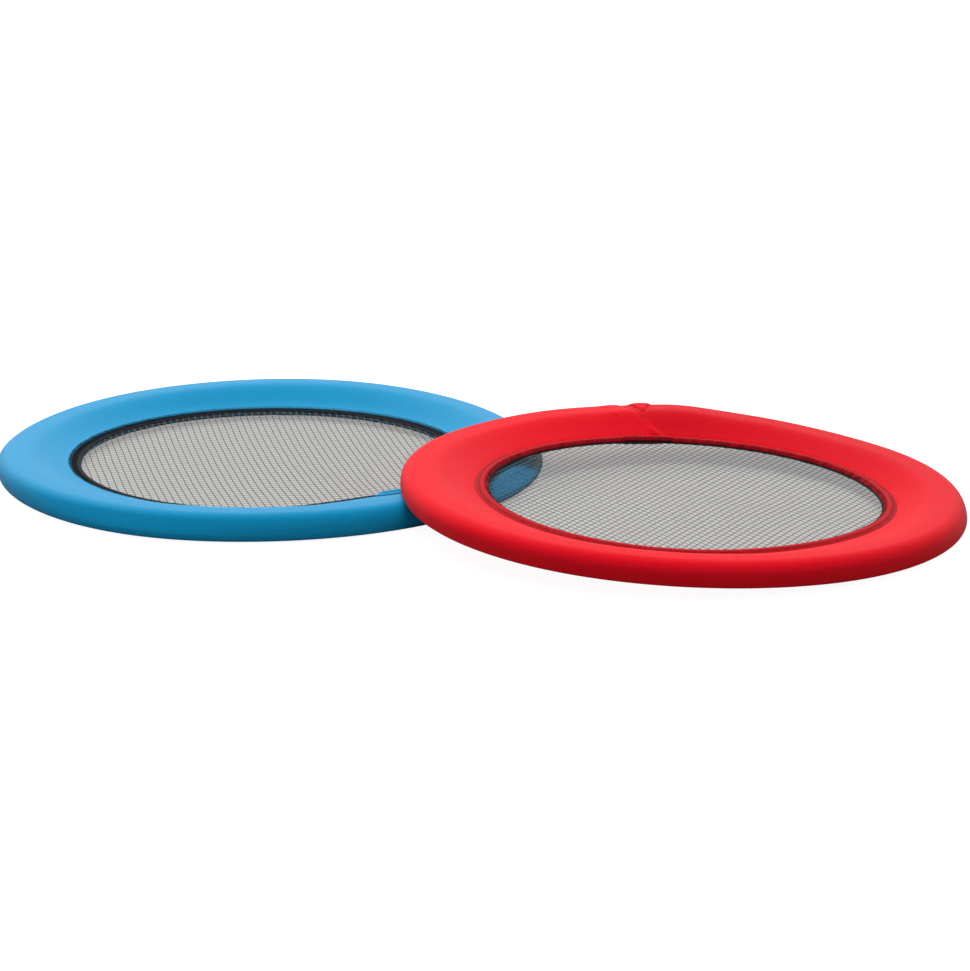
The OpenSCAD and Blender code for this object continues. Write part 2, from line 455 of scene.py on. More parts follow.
clothOf = {colour: makeClothMaterial(colour) for colour in colours}
print("materials: jersey")

plainLooks = {
    "coatedYarn": {"colour": (0.15, 0.147, 0.142), "roughness": 0.6, "bump": 0.00003, "specular": 0.0},
    "hemTape": {"colour": (0.016, 0.02, 0.025), "roughness": 0.8, "bump": 0.0002, "specular": 0.2},
    "blackThread": {"colour": (0.008, 0.007, 0.009), "roughness": 0.7, "bump": 0.0001, "specular": 0.2},
    "foam": {"colour": (0.62, 0.62, 0.60), "roughness": 0.9, "bump": 0.0004, "specular": 0.5},
    "springRod": {"colour": (0.56, 0.57, 0.58), "roughness": 0.3, "bump": 0.00002, "specular": 0.5,
                  "metallic": 1.0, "fleck": 0.05},
}


def makePlainMaterial(name, drift=0.1, fleck=0.2):
    look = plainLooks[name]
    material, tree, sockets = newMaterial(name, {
        "Roughness": look["roughness"], "Specular IOR Level": look["specular"],
        "Metallic": look.get("metallic", 0.0)})
    tone = useGroup(tree, toneGroup, {
        "Color": (*look["colour"], 1), "Place": objectPlace(tree), "Drift": drift,
        "Fleck": look.get("fleck", fleck)})
    tree.links.new(tone["Color"], sockets["Base Color"])
    addBump(tree, sockets, tone["Fleck"], look["bump"])
    return material


materialOf = {name: makePlainMaterial(name) for name in plainLooks}
print("materials: tape, thread, yarn, foam and rod")

rim = {
    "weltSideFrom": 108.4,
    "plainSideFrom": 111.2,
    "upperFace": {"steps": 40, "nosePower": 1.0},
    "lowerFace": {"steps": 14, "nosePower": 0.62},
    "noseSteps": 16,
    # painted shade: the red sleeve is painted darker past these turns, where its cloth twists away from the
    # light
    "farSidePaintedShade": {"blue": 0.0, "red": 0.13},  # how much darker the cloth is past these turns
    "farSideTurns": (205, 300),
    # rows round the disc, in degrees from the slanting edge
    "firstRow": 0.03,
    "fineStep": 0.2,
    "fineEnd": 26.0,
    "coarseEnd": 350.0,
    "end": 359.7,
    "endRows": 11,
    "edgeRounding": (0.35, 0.75, 0.95),  # share of the cloth's thickness in the first rows
}
# The sleeve's two ends lap: one end rides over the other and stops at a slanting edge, given as
# (radius, turn from the lap in degrees).
lap = {
    "edge": {
        "blue": [(106, -13.5), (109, -12.5), (112, -11.5), (119, -6.0), (128, -3.0), (146, -3.6),
                 (170, -4.0)],
        "red": [(106, -9.4), (109, -7.5), (112, -6.0), (119, -3.2), (124, -1.6), (128, -1.0), (136, -2.2),
                (146, -3.6)],
    },
    "edgeTurn": 4.0,  # degrees by which the slanting edge passes the lap
    "under": 5.0,  # degrees by which the other end runs on underneath
    "lift": 1.1,
    "liftStop": (0.5, 5.5),  # degrees past the end that lies underneath
    "liftAtNose": 0.5,
    "noseRun": (128, 138),
    "tuck": 4.3,  # mm that the plain side's end is drawn in beside the lap
    "tuckStart": (0, 6.5),
    "tuckStop": (18, 24),
    "side": {"blue": -1, "red": 1},
}
# Folds beside the lap, on the face that lies uppermost. Places are (mm round the rim from the lap, mm
# across the sleeve from the disc's axis and over its nose). A crease is (amount, start, stop, width), a
# knot is (amount, place, reach), and a roll is (amount, run, width, turns it starts in, turns it stops in).
folds = {
    "pathRadius": 125.0,
    "relief": {
        "blue": {"rolls": [(2.2, 108.8, 1.3, (-12.5, -6.5), (8, 14)),
                           (-0.7, 111.8, 1.2, (-12, -7), (8, 14))]},
        "red": {"knots": [(0.7, (-1.4, 144), (5.6, 8))],
                "creases": [(-2.2, (7.4, 148), (-1.0, 127.0), 2.1),
                            (-1.6, (-9.2, 147), (-2.4, 128.0), 1.6),
                            (0.9, (-3.6, 117.5), (-14.0, 111.2), 2.0),
                            (-1.1, (-4.5, 113.6), (-15.0, 108.6), 0.9),
                            (-0.5, (14.0, 128.0), (15.6, 129.0), 0.5)]},
    },
    # painted shade: how much darker the cloth is painted along the creases and in the groove beside the
    # blue roll, where shade falls
    "dark": {
        "blue": {"rolls": [(0.5, 111.9, 1.0, (-12, -7), (8, 14))]},
        "red": {"creases": [(0.65, (7.2, 148), (-1.4, 127.0), 2.2),
                            (0.55, (-9.0, 147), (-2.6, 128.0), 1.7),
                            (0.25, (-4.5, 113.6), (-15.0, 108.6), 1.0),
                            (0.3, (14.0, 128.0), (15.6, 129.0), 0.6)]},
    },
}


def setDark(mesh, values):
    # how much darker the cloth is at each point: painted shade where it is creased, twisted or turned away
    # from the light, and darker where it is sewn tight with thread
    layer = mesh.attributes.new("dark", "FLOAT", "POINT")
    layer.data.foreach_set("value", np.ravel(values).astype(np.float32))


def lapEdge(colour, radius):
    radii, turns = zip(*lap["edge"][colour])
    return np.interp(radius, radii, turns)


def lapLift(turn):
    start, stop = lap["liftStop"]
    return lap["lift"] * (1 - ease(turn, lap["under"] + start, lap["under"] + stop))


def crease(x, y, start, stop, width):
    # 1 along a line on the cloth, falling away to its sides
    a, b = np.array(start, float), np.array(stop, float)
    line = b - a
    t = np.clip(((x - a[0]) * line[0] + (y - a[1]) * line[1]) / (line @ line), 0, 1)
    return bump(np.hypot(x - a[0] - t * line[0], y - a[1] - t * line[1]) / width)


def foldsAt(marks, turn, run):
    # turn in degrees from the lap, run in mm across the sleeve
    x = np.radians(turn) * folds["pathRadius"]
    total = np.zeros_like(x)
    for amount, (atX, atRun), (reachX, reachRun) in marks.get("knots", []):
        total += amount * bump((x - atX) / reachX) * bump((run - atRun) / reachRun)
    for amount, start, stop, width in marks.get("creases", []):
        total += amount * crease(x, run, start, stop, width)
    for amount, atRun, width, starting, stopping in marks.get("rolls", []):
        total += amount * bump((run - atRun) / width) * ease(turn, *starting) * (1 - ease(turn, *stopping))
    return total


def faceRun(face, start, narrow, steps, nosePower):
    # one face of the sleeve from its inner edge to the tip of the nose, for every turn round the disc
    share = np.linspace(0, 1, steps + 1)
    fall = start[:, None] + (crestR - start[:, None]) * share
    narrow = narrow[:, None]
    squeeze = (crestR - narrow - openingR) / (crestR - openingR)
    crest = np.tile(np.linspace(crestR, noseR, 3)[1:], (len(start), 1)) - narrow
    tilt = np.tile(np.linspace(0, math.pi / 2, rim["noseSteps"] + 1)[1:], (len(start), 1))
    nose = noseR - narrow + (halfT + narrow) * np.sin(tilt) ** nosePower
    radius = np.concatenate([openingR + (fall - openingR) * squeeze, crest, nose], 1)
    turned = halfT * np.maximum(np.cos(tilt), 0) ** nosePower
    height = np.concatenate([fallHeight(fall), np.full_like(crest, halfT), turned], 1)
    run = np.concatenate([fall, crest + narrow, noseR + halfT * tilt], 1)
    # outward direction of the surface
    slope = np.arcsin(np.clip((crestR - fall) / fallArcR, 0, 1))
    lean = np.concatenate([-slope, np.zeros_like(crest), tilt], 1)
    return radius, height * face, run, np.stack([np.sin(lean), np.cos(lean) * face], -1)


def sleeveRows():
    # turns run from the slanting edge, once round, to the end that lies underneath
    fine = np.arange(0, rim["fineEnd"], rim["fineStep"])
    coarse = np.linspace(rim["fineEnd"], rim["coarseEnd"], int(rim["coarseEnd"] - rim["fineEnd"]))
    last = np.linspace(rim["coarseEnd"], rim["end"], rim["endRows"] + 1)[1:]
    return np.concatenate([[0, rim["firstRow"]], fine[1:], coarse, last])


def sleeveFaces(colour, share):
    # both faces joined, from the welt's side over the nose to the plain side
    around = lap["side"][colour] * (share - lap["edgeTurn"])
    tuck = lap["tuck"] * ease(share, *lap["tuckStart"]) * (1 - ease(share, *lap["tuckStop"]))
    starts = {
        1: np.full(len(share), rim["weltSideFrom"]),
        -1: rim["plainSideFrom"] - swayAt("tuck", colour, around) - tuck,
    }
    faces = {}
    for face, start in starts.items():
        upper = face == upSide[colour]
        look = rim["upperFace" if upper else "lowerFace"]
        narrow = swayAt("narrow", colour, around) * upper
        faces[face] = faceRun(face, start, narrow, look["steps"], look["nosePower"])
    return [np.concatenate([w, p[:, -2::-1]], 1) for w, p in zip(faces[1], faces[-1])]


def makeSleeve(colour):
    side = lap["side"][colour]
    rows = sleeveRows()
    share = rows[:, None]
    radius, height, run, normal = sleeveFaces(colour, rows)
    # every row starts on the slanting edge and stands square again by the end of the fine rows
    whole = 360 + lap["under"] + lap["edgeTurn"]
    settle = ease(share, 0, rim["fineEnd"])
    slanting = lapEdge(colour, radius) + share
    square = share * whole / rim["end"] - lap["edgeTurn"]
    turn = slanting * (1 - settle) + square * settle
    upper = np.sign(height + 1e-6) == upSide[colour]
    relief = np.where(upper, foldsAt(folds["relief"][colour], turn, run), 0.0)
    # painted shade: the red cloth is painted darker past the lap's far side, where it twists away from the
    # light, and along the creases beside the lap, where shade falls in them
    dark = rim["farSidePaintedShade"][colour] * ease(share, *rim["farSideTurns"])
    dark = dark + np.where(upper, foldsAt(folds["dark"][colour], turn, run), 0.0)
    lifted = lapLift(turn) * (1 - lap["liftAtNose"] * ease(run, *lap["noseRun"]))
    out = np.stack([radius, height], -1) + (lifted + relief)[..., None] * normal
    inside = out - normal * clothDepth(radius)[..., None]
    # the cut edge is rounded over its first rows
    rounded = np.ones(len(rows))
    rounded[:len(rim["edgeRounding"])] = rim["edgeRounding"]
    middle = (out + inside) / 2
    out, inside = (middle + (wall - middle) * rounded[:, None, None] for wall in (out, inside))
    section = np.concatenate([out, inside[:, ::-1]], 1)
    turn = np.radians(np.concatenate([turn, turn[:, ::-1]], 1)) * side
    points = np.stack([section[..., 0] * np.cos(turn), section[..., 0] * np.sin(turn), section[..., 1]], -1)
    name = colour + "Sleeve"
    mesh = gridMesh(name, points, np.radians(rows) * openingR, pathLengths(section[-1]), ring=False)
    if side < 0:
        mesh.flip_normals()
    setDark(mesh, np.concatenate([dark, dark[:, ::-1]], 1))
    return newPiece(name, seat(mesh, colour), clothOf[colour])


foam = {
    "innerRadius": 115.7,
    "inset": 1.9,
    "splitGap": 0.03,
    "grooveRadius": 2.3,
    "faceSteps": 13,
    "turnSteps": 9,
    "aroundSteps": 180,
}


def makeFoam(colour, side):
    gap, grooveR = foam["splitGap"], foam["grooveRadius"]
    radii = np.linspace(foam["innerRadius"], crestR, foam["faceSteps"])
    turn = np.linspace(math.pi / 2, 0, foam["turnSteps"])
    noseT = halfT - foam["inset"]
    face = np.concatenate([np.stack([radii, fallHeight(radii) - foam["inset"]], 1),
                           np.stack([noseR + noseT * np.cos(turn), noseT * np.sin(turn)], 1)])
    face[-1, 1] = gap
    turn = np.linspace(0, math.pi, foam["turnSteps"])
    groove = np.stack([noseR + grooveR * np.cos(turn), gap + grooveR * np.sin(turn)], 1)
    section = np.concatenate([face, groove, [[foam["innerRadius"], gap]]]) * [1, side]
    name = colour + ("FoamWeltSide" if side > 0 else "FoamPlainSide")
    mesh = ringMesh(name, section, foam["aroundSteps"])
    return newPiece(name, seat(mesh, colour, spread=False), materialOf["foam"])


sleeves, foams = {}, {}
for colour in colours:
    sleeves[colour] = makeSleeve(colour)
    foams[colour] = [makeFoam(colour, 1), makeFoam(colour, -1)]
print("padded rims:", {colour: len(sleeves[colour].data.polygons) for colour in colours})

net = {
    "firstPitch": 3.78,
    "secondPitch": 3.78,
    "cross": 65.0,  # degrees between the two families of yarns
    "firstWidth": 0.46,
    "firstThickness": 0.25,
    "secondWidth": 0.4,
    "secondThickness": 0.16,
    "lift": 0.13,
    "step": 1.05,
    "trim": 111.0,
    "margin": 2.0,  # mm of yarn past the trim
    "shortest": 0.1,
    "drift": 0.9,  # mm that a yarn strays from its row
    "driftScale": 0.03,
    "yarnArea": 0.0149,  # flat area of the yarns themselves, in square metres
    "first": {"blue": 126.0, "red": 85.6},  # way of the first family, in degrees from +X
    "bow": {"blue": 3.3, "red": 0.0},  # mm that its yarns bend at the rim
}


def makeYarnGroup():
    tree, given, result = newGroup("yarnFamily", "GeometryNodeTree", [
        ("Pitch", "Float", 4.0), ("Cross Pitch", "Float", 4.0),
        ("Cross", "Float", 1.07), ("Turn", "Float", 0.0),
        ("Radius", "Float", 111.0), ("Bow", "Float", 0.0),
        ("Bow Turn", "Float", 0.0), ("Width", "Float", 0.5),
        ("Thickness", "Float", 0.2), ("Lift", "Float", 0.1),
        ("Step", "Float", 1.0)], [("Geometry", "Geometry")])
    place = addNode(tree, "GeometryNodeInputPosition").outputs[0]
    x, y, _ = separated(tree, place)
    # straight rows, each as long as its chord of the circle
    spare = calc(tree, "ADD", calc(tree, "ABSOLUTE", given["Bow"]), net["margin"])
    reach = calc(tree, "ADD", given["Radius"], spare)
    half = calc(tree, "FLOOR", calc(tree, "DIVIDE", reach, given["Pitch"]))
    lowest = calc(tree, "MULTIPLY", calc(tree, "MULTIPLY", half, given["Pitch"]), -1.0)
    rows = addNode(tree, "GeometryNodeMeshLine", {
        "Count": calc(tree, "ADD", calc(tree, "MULTIPLY", half, 2.0), 1.0),
        "Start Location": combined(tree, y=lowest),
        "Offset": combined(tree, y=given["Pitch"])}, mode="OFFSET")
    inside = calc(tree, "SUBTRACT", calc(tree, "MULTIPLY", reach, reach), calc(tree, "MULTIPLY", y, y))
    chord = calc(tree, "SQRT", calc(tree, "MAXIMUM", inside, net["shortest"] ** 2))
    line = addNode(tree, "GeometryNodeCurvePrimitiveLine", {"Start": (-1, 0, 0), "End": (1, 0, 0)})
    yarns = addNode(tree, "GeometryNodeInstanceOnPoints", {
        "Points": rows.outputs[0], "Instance": line.outputs[0], "Scale": combined(tree, chord, 1.0, 1.0)})
    real = addNode(tree, "GeometryNodeRealizeInstances", {0: yarns.outputs[0]})
    fine = addNode(tree, "GeometryNodeResampleCurve", {
        "Curve": real.outputs[0], "Length": given["Step"]}, mode="LENGTH")
    # over one yarn of the other family and under the next
    across = calc(tree, "SUBTRACT", calc(tree, "MULTIPLY", y, calc(tree, "COSINE", given["Cross"])),
                  calc(tree, "MULTIPLY", x, calc(tree, "SINE", given["Cross"])))
    phase = calc(tree, "MULTIPLY", calc(tree, "DIVIDE", across, given["Cross Pitch"]), math.pi)
    row = calc(tree, "MULTIPLY", calc(tree, "ROUND", calc(tree, "DIVIDE", y, given["Pitch"])), math.pi)
    overUnder = calc(tree, "MULTIPLY", calc(tree, "COSINE", phase), calc(tree, "COSINE", row))
    waved = combined(tree, x, y, calc(tree, "MULTIPLY", overUnder, given["Lift"]))
    turned = turnedAboutZ(tree, waved, given["Turn"])
    laid = addNode(tree, "GeometryNodeSetPosition", {"Geometry": fine.outputs[0], "Position": turned})
    # the cloth is drawn a little out of square when it is sewn in
    own = turnedAboutZ(tree, place, calc(tree, "MULTIPLY", given["Bow Turn"], -1.0))
    along = calc(tree, "DIVIDE", separated(tree, own)[0], given["Radius"])
    bow = calc(tree, "MULTIPLY", calc(tree, "MULTIPLY", along, along), given["Bow"])
    noise = addNode(tree, "ShaderNodeTexNoise", {
        "Vector": place, "Scale": net["driftScale"], "Detail": 1.0})
    drift = calc(tree, "MULTIPLY", calc(tree, "SUBTRACT", noise.outputs[0], 0.5), net["drift"])
    offset = turnedAboutZ(tree, combined(tree, y=calc(tree, "ADD", bow, drift)), given["Bow Turn"])
    bowed = addNode(tree, "GeometryNodeSetPosition", {"Geometry": laid.outputs[0], "Offset": offset})
    outside = calc(tree, "GREATER_THAN", vectorCalc(tree, "LENGTH", place, output=1), given["Radius"])
    trimmed = addNode(tree, "GeometryNodeDeleteGeometry", {
        "Geometry": bowed.outputs[0], "Selection": outside}, domain="POINT")
    upright = addNode(tree, "GeometryNodeSetCurveNormal", {0: trimmed.outputs[0]}, mode="Z_UP")
    profile = addNode(tree, "GeometryNodeCurvePrimitiveQuadrilateral", {
        "Width": given["Width"], "Height": given["Thickness"]})
    tubes = addNode(tree, "GeometryNodeCurveToMesh", {
        "Curve": upright.outputs[0], "Profile Curve": profile.outputs[0], "Fill Caps": True})
    tree.links.new(tubes.outputs[0], result["Geometry"])
    return tree


def makeNetTree(yarnGroup):
    tree, given, result = newGroup("netWeave", "GeometryNodeTree", [
        ("Geometry", "Geometry", None), ("First Pitch", "Float", 4.0),
        ("Second Pitch", "Float", 4.0), ("Cross", "Float", 1.07),
        ("First Turn", "Float", 0.0), ("Bow", "Float", 0.0),
        ("Radius", "Float", 111.0), ("First Width", "Float", 0.5),
        ("First Thickness", "Float", 0.2), ("Second Width", "Float", 0.5),
        ("Second Thickness", "Float", 0.2), ("Lift", "Float", 0.1),
        ("Step", "Float", 1.0), ("Material", "Material", None)],
        [("Geometry", "Geometry")])
    shared = {key: given[key] for key in ("Bow", "Radius", "Step")}
    shared["Bow Turn"] = given["First Turn"]
    first = useGroup(tree, yarnGroup, {
        **shared, "Pitch": given["First Pitch"], "Cross Pitch": given["Second Pitch"],
        "Width": given["First Width"], "Thickness": given["First Thickness"],
        "Cross": given["Cross"], "Turn": given["First Turn"], "Lift": given["Lift"]})
    second = useGroup(tree, yarnGroup, {
        **shared, "Pitch": given["Second Pitch"], "Cross Pitch": given["First Pitch"],
        "Width": given["Second Width"], "Thickness": given["Second Thickness"],
        "Cross": calc(tree, "MULTIPLY", given["Cross"], -1.0),
        "Turn": calc(tree, "ADD", given["First Turn"], given["Cross"]),
        "Lift": calc(tree, "MULTIPLY", given["Lift"], -1.0)})
    joined = tree.nodes.new("GeometryNodeJoinGeometry")
    tree.links.new(first[0], joined.inputs[0])
    tree.links.new(second[0], joined.inputs[0])
    real = addNode(tree, "GeometryNodeRealizeInstances", {0: joined.outputs[0]})
    flat = addNode(tree, "GeometryNodeSetShadeSmooth", {"Geometry": real.outputs[0], "Shade Smooth": False})
    coated = addNode(tree, "GeometryNodeSetMaterial", {
        "Geometry": flat.outputs[0], "Material": given["Material"]})
    tree.links.new(coated.outputs[0], result["Geometry"])
    return tree


netTree = makeNetTree(makeYarnGroup())


def makeNet(colour):
    # directions are given from +X on the floor, and the blue disc lies upside down
    turn = math.radians(net["first"][colour] - turnOf[colour]) * upSide[colour]
    mesh = runTree(colour + "Net", netTree, {
        "First Pitch": net["firstPitch"], "Second Pitch": net["secondPitch"],
        "Cross": math.radians(net["cross"]) * upSide[colour], "First Turn": turn,
        "Bow": net["bow"][colour], "Radius": net["trim"],
        "First Width": net["firstWidth"], "First Thickness": net["firstThickness"],
        "Second Width": net["secondWidth"], "Second Thickness": net["secondThickness"],
        "Lift": net["lift"], "Step": net["step"], "Material": materialOf["coatedYarn"]})
    return newPiece(colour + "Net", seat(mesh, colour), smooth=False)


nets = {colour: makeNet(colour) for colour in colours}
print("nets:", {colour: len(nets[colour].data.polygons) for colour in colours})

# The tape is folded over the net's edge. On the plain side it shows between the sleeve and the net.
# The points are (radius, height).
hem = {
    "plainFace": [(115.2, -2.0), (112.6, -2.5), (111.2, -2.3), (109.6, -1.9), (108.0, -1.5), (106.4, -1.15),
                  (105.2, -0.9), (104.7, -0.6), (104.7, -0.3)],
    "slot": [(105.2, -0.16), (114.6, -0.16), (114.6, 0.16), (105.2, 0.16)],
    "weltFace": [(104.7, 0.3), (104.7, 0.65), (105.2, 0.95), (108.6, 1.3), (115.2, 1.4)],
    "short": {"blue": [(-134, 95, 2.0)], "red": []},  # waves, as in sway
    "shortBand": (110, 106),
    "aroundSteps": 480,
}


def makeHem(colour):
    name = colour + "Hem"
    mesh = ringMesh(name, hem["plainFace"] + hem["slot"] + hem["weltFace"], hem["aroundSteps"])
    points = meshPoints(mesh)
    radius, angle = polar(points)
    pushOut(points, radius, sumAt(hem["short"][colour], angle) * ease(radius, *hem["shortBand"]))
    setPoints(mesh, points)
    return newPiece(name, seat(mesh, colour), materialOf["hemTape"])


hems = {colour: makeHem(colour) for colour in colours}
print("hems")

# A stitch's path is (radius, 0, height), and its row's turns run from the lap in degrees. It leans along
# the seam from its start to its end, in mm.
stitch = {
    "pathSteps": 7,
    "threadSides": 5,
    "leastSize": (0.997, 0.9, 0.97),
    "mostSize": (1.003, 1.15, 1.03),
    "unevenness": 0.16,  # share of the pitch that a stitch strays
    "overlock": {
        "start": (112.2, 0, -3.5), "middle": (110.4, 0, -3.5), "end": (107.6, 0, -1.5),
        "turns": {"blue": (-348, -14), "red": (14, 350)},
        "pitch": 1.35, "lean": 1.6, "thread": 0.42, "seed": 4, "lifts": False,
    },
    "weltEdge": {
        "start": (107.5, 0, 4.95), "middle": (106.5, 0, 4.6), "end": (105.2, 0, 1.6),
        "turns": {"blue": (0, 360), "red": (0, 360)},
        "pitch": 1.3, "lean": 0.7, "thread": 0.36, "seed": 9, "lifts": True,
    },
    "weltSeam": {
        "start": (110.5, 0, 4.3), "middle": (110.3, 0, 4.75), "end": (110.5, 0, 4.3),
        "turns": {"blue": (0, 360), "red": (0, 360)},
        "pitch": 2.5, "lean": 1.5, "thread": 0.42, "seed": 3, "lifts": True,
    },
}


def makeStitchTree():
    # a short thread over a bent path, repeated round a circle with a little unevenness
    tree, given, result = newGroup("stitchRing", "GeometryNodeTree", [
        ("Geometry", "Geometry", None), ("Count", "Int", 300),
        ("From", "Float", 0.0), ("To", "Float", 6.283),
        ("Start", "Vector", None), ("Middle", "Vector", None),
        ("End", "Vector", None), ("Lean", "Float", 0.5),
        ("Thread", "Float", 0.4), ("Unevenness", "Float", 0.2),
        ("Seed", "Int", 1), ("Material", "Material", None)],
        [("Geometry", "Geometry")])
    path = addNode(tree, "GeometryNodeCurveQuadraticBezier", {
        "Resolution": stitch["pathSteps"], "Start": given["Start"], "Middle": given["Middle"],
        "End": given["End"]})
    along = addNode(tree, "GeometryNodeSplineParameter").outputs["Factor"]
    lean = calc(tree, "MULTIPLY", calc(tree, "SUBTRACT", along, 0.5), given["Lean"])
    leaning = addNode(tree, "GeometryNodeSetPosition", {
        "Geometry": path.outputs[0], "Offset": combined(tree, y=lean)})
    profile = addNode(tree, "GeometryNodeCurvePrimitiveCircle", {
        "Resolution": stitch["threadSides"],
        "Radius": calc(tree, "MULTIPLY", given["Thread"], 0.5)}, mode="RADIUS")
    thread = addNode(tree, "GeometryNodeCurveToMesh", {
        "Curve": leaning.outputs[0], "Profile Curve": profile.outputs[0], "Fill Caps": True})
    posts = addNode(tree, "GeometryNodeMeshLine", {
        "Count": given["Count"], "Offset": (0, 0, 0)}, mode="OFFSET")
    index = addNode(tree, "GeometryNodeInputIndex").outputs[0]
    shaken = {"ID": index, "Seed": given["Seed"]}
    shake = addNode(tree, "FunctionNodeRandomValue", {
        2: -1.0, 3: 1.0, **shaken}, data_type="FLOAT").outputs[1]
    whole = calc(tree, "SUBTRACT", given["To"], given["From"])
    share = calc(tree, "DIVIDE", index, given["Count"])
    step = calc(tree, "DIVIDE", whole, given["Count"])
    even = calc(tree, "MULTIPLY_ADD", share, whole, given["From"])
    stray = calc(tree, "MULTIPLY", calc(tree, "MULTIPLY", shake, step), given["Unevenness"])
    turn = calc(tree, "ADD", even, stray)
    size = addNode(tree, "FunctionNodeRandomValue", {
        0: stitch["leastSize"], 1: stitch["mostSize"], **shaken}, data_type="FLOAT_VECTOR").outputs[0]
    placed = addNode(tree, "GeometryNodeInstanceOnPoints", {
        "Points": posts.outputs[0], "Instance": thread.outputs[0], "Rotation": combined(tree, z=turn),
        "Scale": size})
    real = addNode(tree, "GeometryNodeRealizeInstances", {0: placed.outputs[0]})
    coated = addNode(tree, "GeometryNodeSetMaterial", {
        "Geometry": real.outputs[0], "Material": given["Material"]})
    tree.links.new(coated.outputs[0], result["Geometry"])
    return tree


stitchTree = makeStitchTree()

# A folded strip, from its outer edge on the sleeve to the roll that turns down towards the net. The
# points are (radius, height).
welt = {
    "section": [(112.9, 3.3), (112.5, 3.6), (111.8, 3.78), (110.8, 4.2), (109.6, 4.75), (108.5, 5.05),
                (107.7, 5.05), (107.0, 4.65), (106.4, 3.95), (105.9, 3.1), (105.4, 2.2), (105.1, 1.5),
                (105.2, 1.05), (105.8, 1.1), (106.6, 1.8), (107.4, 2.3), (108.5, 2.42), (110.2, 2.85),
                (112.1, 3.2)],
    "edgeRadius": 109,
    "rideTurns": (-1.0, 0.4),  # where it climbs on to the lap, in degrees from the lap's edge
    "puckers": 0.14,
    "puckerPitch": 2.5,
    "puckerPull": 0.8,  # share of a pucker's depth that it also draws inwards
    "wander": 0.9,
    "wanderCount": 37,
    "rolledRadius": (112.0, 109.5),
    "rolledHeight": (1.7, 3.2),
    "topDark": 0.33,
    "wallDark": 0.25,
    "wallRadius": (107.6, 106.6),
    # painted shade: the outer flank of the welt's roll, which faces away from the light, is painted darker
    "flankPaintedShade": 0.14,
    "flankRadius": (108.6, 109.4),
    "aroundSteps": 2100,
}


def weltLift(colour, angle):
    # the welt and its stitches ride over the sleeve's lap
    turn = angle * lap["side"][colour]
    edge = lapEdge(colour, welt["edgeRadius"])
    start, full = welt["rideTurns"]
    return lapLift(turn) * ease(turn, edge + start, edge + full)


def makeStitches(name, colour, row):
    start, stop = row["turns"][colour]
    mesh = runTree(name, stitchTree, {
        "Count": round((stop - start) / 360 * math.tau * openingR / row["pitch"]),
        "From": math.radians(start), "To": math.radians(stop),
        "Start": row["start"], "Middle": row["middle"], "End": row["end"], "Lean": row["lean"],
        "Thread": row["thread"], "Unevenness": stitch["unevenness"], "Seed": row["seed"],
        "Material": materialOf["blackThread"]})
    if row["lifts"]:
        points = meshPoints(mesh)
        points[:, 2] += weltLift(colour, polar(points)[1])
        setPoints(mesh, points)
    return newPiece(name, seat(mesh, colour))


overlocks = {c: makeStitches(c + "Overlock", c, stitch["overlock"]) for c in colours}
stitches = {c: makeStitches(c + "WeltStitches", c, stitch["weltEdge"]) for c in colours}
seams = {c: makeStitches(c + "WeltSeam", c, stitch["weltSeam"]) for c in colours}
print("stitches:", {colour: len(overlocks[colour].data.polygons) for colour in colours})


def makeWelt(colour):
    name = colour + "Welt"
    mesh = ringMesh(name, welt["section"], welt["aroundSteps"])
    points = meshPoints(mesh)
    radius, angle = polar(points)
    wall = welt["wallDark"] * ease(radius, *welt["wallRadius"])
    # painted shade on the roll's outer flank
    flank = welt["flankPaintedShade"] * ease(radius, *welt["flankRadius"])
    setDark(mesh, welt["topDark"] + wall + flank)
    turn = np.radians(angle)
    count = round(math.tau * openingR / welt["puckerPitch"])
    wander = welt["wander"] * np.sin(turn * welt["wanderCount"])
    rolled = ease(radius, *welt["rolledRadius"]) * ease(points[:, 2], *welt["rolledHeight"])
    pull = np.cos(turn * count + wander) * welt["puckers"] * rolled
    points[:, 2] += pull + weltLift(colour, angle)
    pushOut(points, radius, -pull * welt["puckerPull"])
    setPoints(mesh, points)
    return newPiece(name, seat(mesh, colour), clothOf[colour])


welts = {colour: makeWelt(colour) for colour in colours}
print("welts")

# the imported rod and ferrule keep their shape
for colour in colours:
    for part in ("rim_hoop", "hoop_ferrule"):
        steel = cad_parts[f"{colour}_{part}"]
        steel.data.materials.clear()
        steel.data.materials.append(materialOf["springRod"])

for colour in colours:
    body = colour + "_disc"
    for piece, nodes, slot in (
        (sleeves[colour], ["cover", "cover_lap"], colour + "_cloth"),
        (foams[colour][0], ["foam_welt_side"], "foam"),
        (foams[colour][1], ["foam_plain_side"], "foam"),
        (nets[colour], ["net"], "net_yarn"),
        (hems[colour], ["net_hem"], "hem_tape"),
        (overlocks[colour], [], "black_thread"),
        (welts[colour], ["welt"], colour + "_cloth"),
        (stitches[colour], ["welt_thread"], "black_thread"),
        (seams[colour], [], "black_thread"),
    ):
        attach(piece, body)
        if nodes:
            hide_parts(*[f"{colour}_{node}" for node in nodes])

